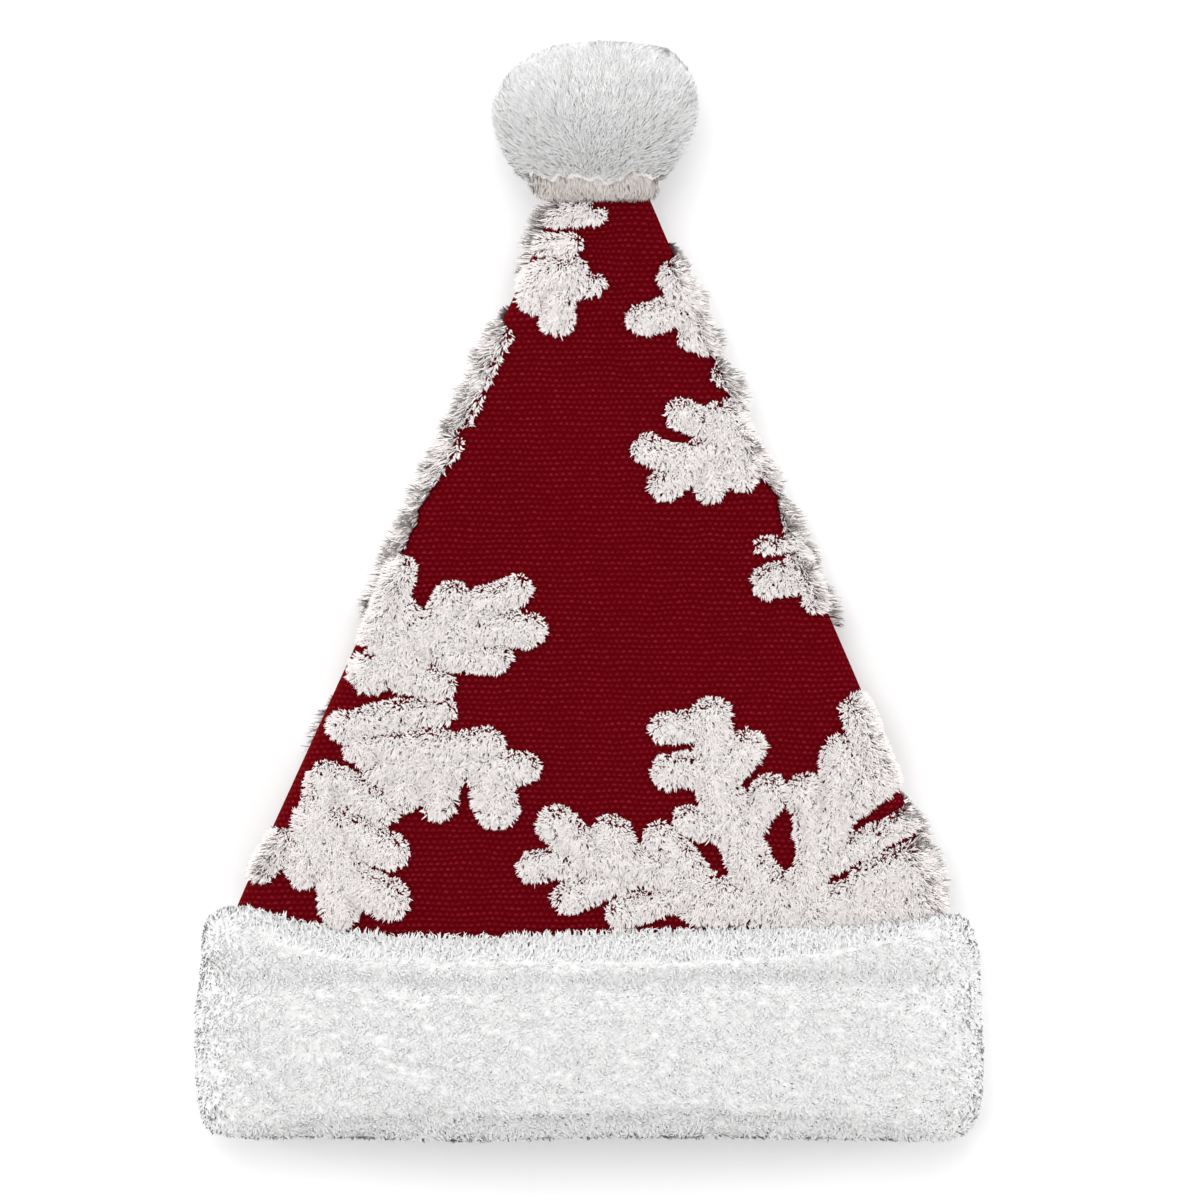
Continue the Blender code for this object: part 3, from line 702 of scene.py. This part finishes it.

# The curls' roots are painted a little darker, as shade in the pile.
cuff_curl = plush(
    "cuff_curl",
    root=(0.75, 0.75, 0.745), middle=(0.78, 0.78, 0.78), tip=(0.81, 0.81, 0.815), spread=0.06,
)
skin = evaluated(cuff_backing)
shown = []
for face in skin.faces:
    spot = face.calc_center_median()
    _, outward, _, distance = crown_bvh.find_nearest(spot)
    if distance > 2 * MM or face.normal.dot(outward) > 0:
        shown.append(face)
upper = [face for face in shown if face.normal.z > -0.55]
lower = [face for face in shown if face.normal.z <= -0.55]
for name, faces, count in (("cuff_pile", upper, 66000), ("cuff_pile_below", lower, 15000)):
    roots, ups = scatter(skin, faces, count, rng)
    rim = np.clip((ups[:, 1:2] - 0.15) / 0.4, 0, 1) * (roots[:, 1:2] > RIM_Y - 12 * MM)
    combs = drift(roots, 110, 11) * 1.3 + drift(roots, 400, 12) * 0.8 + np.array([0.5, -0.3, 0.0])
    combs = along_surface(combs * (1 - rim) + np.array([0.0, 1.6, 0.0]) * rim, ups)
    grow(
        name, cuff_curl, [], roots - ups * 0.4 * MM, ups, combs,
        rng.uniform(2.0, 3.2, len(roots)) * MM * (1 + 0.4 * rim[:, 0]),
        rng.uniform(0.5, 0.8, len(roots)) * MM,
        np.radians(rng.normal(58, 12, len(roots))), np.radians(rng.normal(0, 16, len(roots))),
        rng, curl=0.9, lock_size=1.8 * MM, pull=0.45, soften=0.9,
    )
skin.free()


# The pompom: a plush ball of longer combed fibre, tied off round the crown's tip into a short
# gathered neck, where the fibre's beige roots show. Ball and neck are painted darker there, as
# shade.
POMPOM_FIBRES = 60000
COMBED_FROM = 22 * MM  # below the ball's middle, the point that its fibres are combed away from

core_cloth, core_shader, dye = dyed("pompom_core", 0.85, specular=0.1)
curls = dye.cloud(300, 2.0)
feed(core_shader, "Base Color", curls.blend((0.66, 0.65, 0.64), (0.76, 0.755, 0.75)))
ball = solid_copy("pompom")
for _ in range(3):
    above_neck = [vert for vert in ball.verts if vert.co.y > CROWN_TIP_Y + 4 * MM]
    bmesh.ops.smooth_vert(
        ball, verts=above_neck, factor=0.5, use_axis_x=True, use_axis_y=True, use_axis_z=True
    )
ball.normal_update()
for vert in ball.verts:
    high = min(max((vert.co.y - CROWN_TIP_Y - 4 * MM) / (16 * MM), 0.0), 1.0)
    vert.co -= vert.normal * (0.8 + 0.2 * high) * MM
pompom_core = hat_piece("pompom_core", ball, core_cloth, "pompom_plush", "pompom")
smoothed(pompom_core, 1)

# The pompom fibre's roots are beige, and painted darker as shade in the pile.
pompom_fibre = plush(
    "pompom_fibre",
    root=(0.80, 0.765, 0.74), middle=(0.88, 0.87, 0.86), tip=(0.92, 0.92, 0.925), spread=0.30,
)
# The neck's pile: beige, and painted darker, as shade under the ball.
neck_fibre = plush(
    "neck_fibre",
    root=(0.50, 0.42, 0.38), middle=(0.70, 0.64, 0.60), tip=(0.80, 0.76, 0.73), spread=0.2,
)
skin = evaluated(pompom_core)
roots, ups = scatter(skin, skin.faces[:], POMPOM_FIBRES, rng)
skin.free()
low, high = (np.array(list(corner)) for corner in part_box("pompom")[:2])
away = roots - ((low + high) / 2 - np.array([0, COMBED_FROM, 0]))
combs = unit(away) + drift(roots, 90, 21) * 0.4
pleats = drift(roots * np.array([1.0, 0.2, 1.0]), 260, 22)
in_neck = roots[:, 1] < CROWN_TIP_Y + (7 + 5 * pleats[:, 0]) * MM
combs[in_neck] = np.array([0, -1.0, 0]) + pleats[in_neck] * 0.9
combs = along_surface(combs, ups)
high = np.clip((roots[:, 1] - CROWN_TIP_Y - 2 * MM) / (16 * MM), 0.0, 1.0)
# The pompom's pile is painted darker towards the neck, as shade under the ball.
neck_shading = 0.1 + 1.2 * np.clip((roots[:, 1] - CROWN_TIP_Y - 4 * MM) / (45 * MM), 0, 1)
for name, material, part, bright in (
    ("pompom_pile", pompom_fibre, ~in_neck, neck_shading[~in_neck]),
    ("pompom_neck_pile", neck_fibre, in_neck, 1.0),
):
    count = part.sum()
    grow(
        name, material, [], (roots - ups * 0.5 * MM)[part], ups[part],
        combs[part], rng.uniform(4.6, 6.2, count) * MM * (0.6 + 0.4 * high[part]),
        rng.uniform(0.30, 0.46, count) * MM,
        np.radians(rng.normal(58, 9, count)), np.radians(rng.normal(20, 12, count)),
        rng, curl=0.3, lock_size=1.5 * MM, pull=0.2, soften=0.97, bright=bright,
    )
